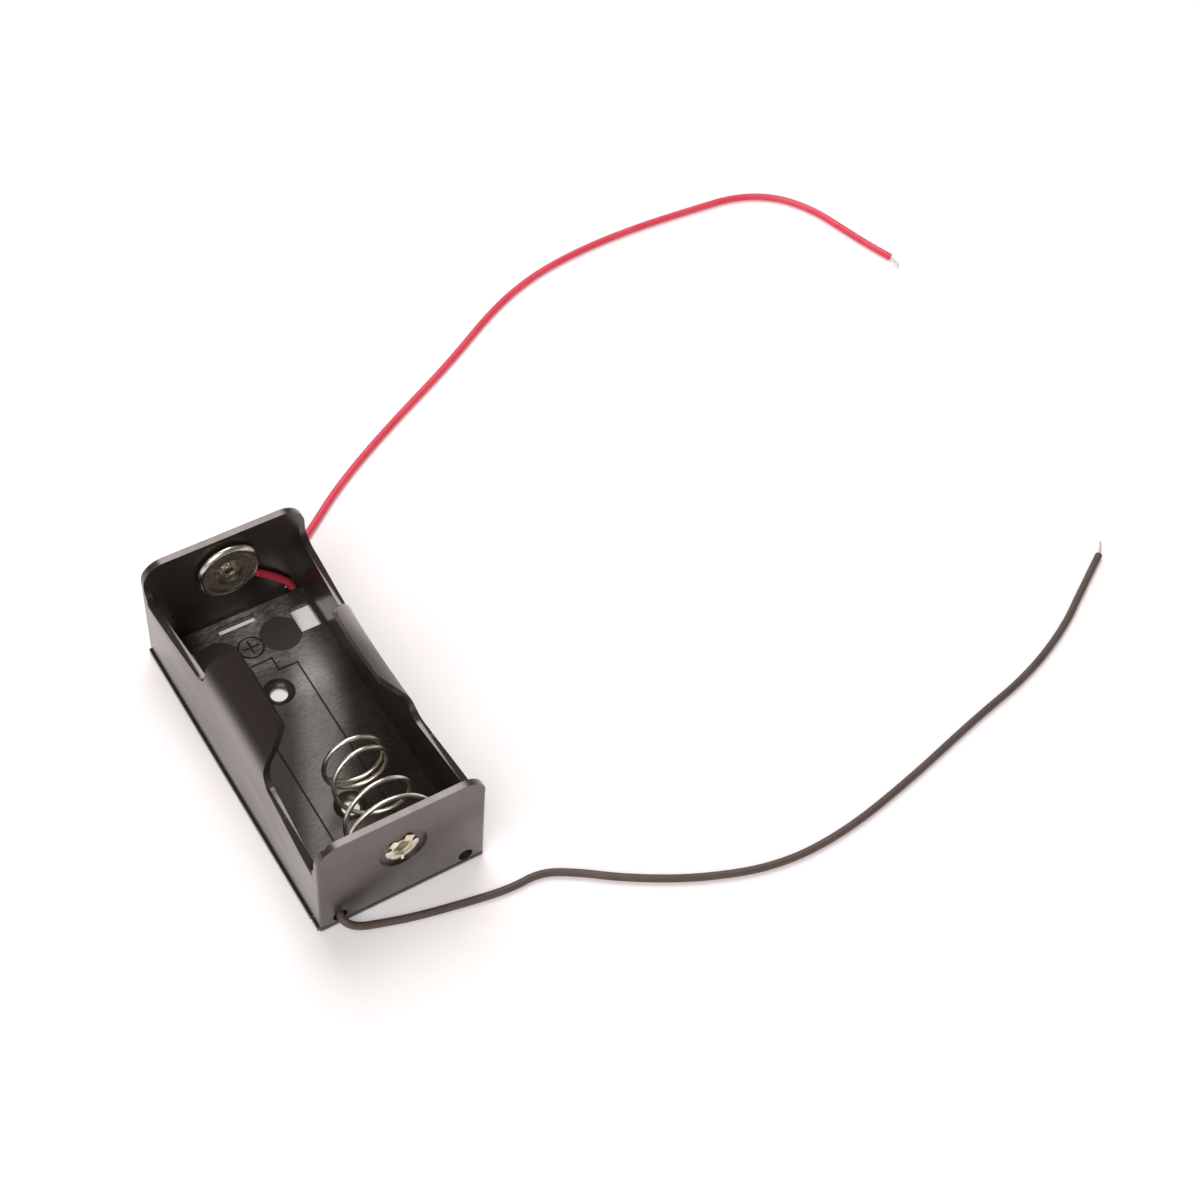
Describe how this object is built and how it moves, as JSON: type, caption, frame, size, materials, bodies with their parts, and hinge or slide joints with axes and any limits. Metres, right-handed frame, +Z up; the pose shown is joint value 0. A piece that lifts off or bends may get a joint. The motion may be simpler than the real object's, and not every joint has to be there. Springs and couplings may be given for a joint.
{
  "type": "cylindrical cell holder",
  "caption": "Open moulded holder for a round cell, with a coiled spring contact, a pressed disc contact, riveted lead wires and countersunk screw holes in its floor.",
  "frame": {"origin": "middle of the underside of the moulding, which lies at Z = 0", "axes": "+X across the holder, +Y along the cell towards its positive end and the disc contact, +Z up out of the open top"},
  "size_m": [0.1671, 0.1354, 0.0237],
  "materials": {
    "moulded_body": "warm near-black moulding, softly glossy, with a streaky floor",
    "plated_contact": "nickel plated sheet",
    "rivets": "plated brass, pressed",
    "spring_wire": "nickel plated spring wire",
    "red_insulation": "soft extruded insulation",
    "black_insulation": "soft extruded insulation",
    "tinned_strands": "tinned copper strands, dipped"
  },
  "bodies": {
    "holder": {"holder_body": "moulded_body", "positive_contact": "plated_contact", "positive_rivet": "rivets", "spring_rivet": "rivets", "red_lead": "red_insulation", "red_lead_strands": "tinned_strands", "red_lead_tip": "tinned_strands", "black_lead": "black_insulation", "black_lead_strands": "tinned_strands", "black_lead_tip": "tinned_strands"},
    "spring": {"contact_spring": "spring_wire"}
  },
  "joints": [
    {"name": "spring_compression", "type": "slide", "parent": "holder", "child": "spring", "axis": [0, -1, 0], "range_m": [0, 0.0125], "stiffness_N_per_m": 780, "deforming": ["contact_spring"]}
  ]
}
